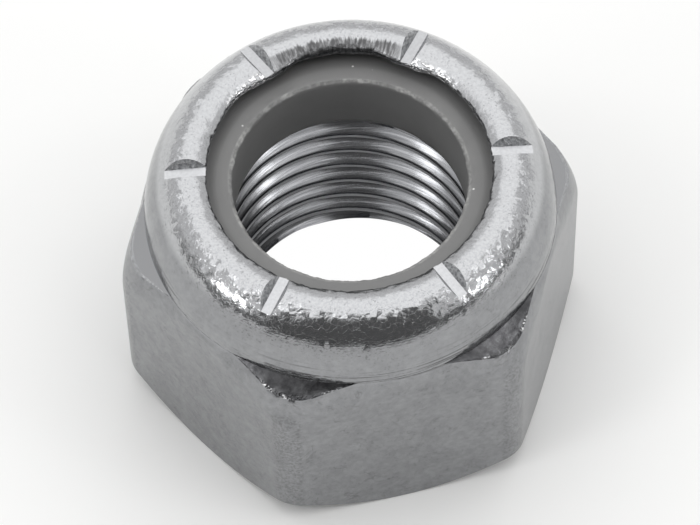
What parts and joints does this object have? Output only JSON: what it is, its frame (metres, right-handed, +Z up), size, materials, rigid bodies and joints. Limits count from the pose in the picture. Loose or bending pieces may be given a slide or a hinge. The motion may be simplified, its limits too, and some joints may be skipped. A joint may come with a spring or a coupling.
{
  "type": "nylon insert lock nut",
  "caption": "Hexagon lock nut with a rolled collar that traps a nylon locking ring above the thread; radial marks are struck into the crown.",
  "frame": {"origin": "centre of the bearing face, on the thread's axis", "axes": "+Z up the thread's axis towards the nylon ring, a corner of the hexagon on +X"},
  "size_m": [0.0216, 0.019, 0.014],
  "materials": {
    "zinc_plated_steel": "bright zinc plate over cold formed steel, lightly scuffed",
    "nylon": "satin moulded nylon"
  },
  "bodies": {
    "root": {"nut_body": "zinc_plated_steel", "nylon_insert": "nylon"}
  },
  "joints": []
}
